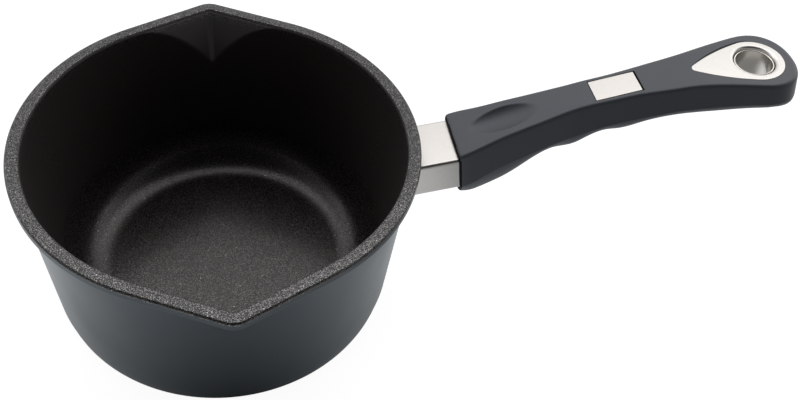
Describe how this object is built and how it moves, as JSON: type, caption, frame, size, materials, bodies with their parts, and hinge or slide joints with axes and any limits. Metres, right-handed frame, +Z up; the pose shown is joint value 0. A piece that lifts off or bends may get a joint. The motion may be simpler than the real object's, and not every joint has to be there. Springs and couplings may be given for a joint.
{
  "type": "saucepan",
  "caption": "Cast saucepan with opposite pouring lips, a raised rim band and a long hand grip held on a lug by a sprung latch with a press plate; the grip ends in a hanging eye.",
  "frame": {"origin": "centre of the pan's flat underside", "axes": "+Z up out of the pan, +X along the handle, pouring lips at +Y and -Y"},
  "size_m": [0.3634, 0.1984, 0.124],
  "materials": {
    "coated_casting": "cast aluminium with a dark speckled non-stick coating, satin",
    "satin_steel": "satin stainless steel",
    "drawn_steel": "drawn stainless steel, half polished",
    "die_casting": "plain die casting",
    "fastener_steel": "plain bright steel",
    "handle_plastic": "heat-resistant moulding, fine matt grain"
  },
  "bodies": {
    "saucepan": {"pan_body": "coated_casting", "ferrule": "satin_steel", "handle_core": "die_casting", "handle_upper_shell": "handle_plastic", "handle_lower_shell": "handle_plastic", "hanging_plate": "satin_steel", "hanging_eyelet": "drawn_steel", "latch_pivot_pin": "fastener_steel", "return_spring": "fastener_steel", "shell_screw_front_left": "fastener_steel", "shell_screw_front_right": "fastener_steel", "shell_screw_middle": "fastener_steel", "shell_screw_rear": "fastener_steel"},
    "latch": {"latch_lever": "fastener_steel", "button_carrier": "handle_plastic", "release_button": "satin_steel"}
  },
  "joints": [
    {"name": "latch_press", "type": "hinge", "parent": "saucepan", "child": "latch", "pos_m": [0.152, 0, 0.09], "axis": [0, 1, 0], "range_deg": [0, 2.6], "stiffness_Nm_per_rad": 1.5, "springref_deg": -5.73, "deforming": ["return_spring"]}
  ]
}
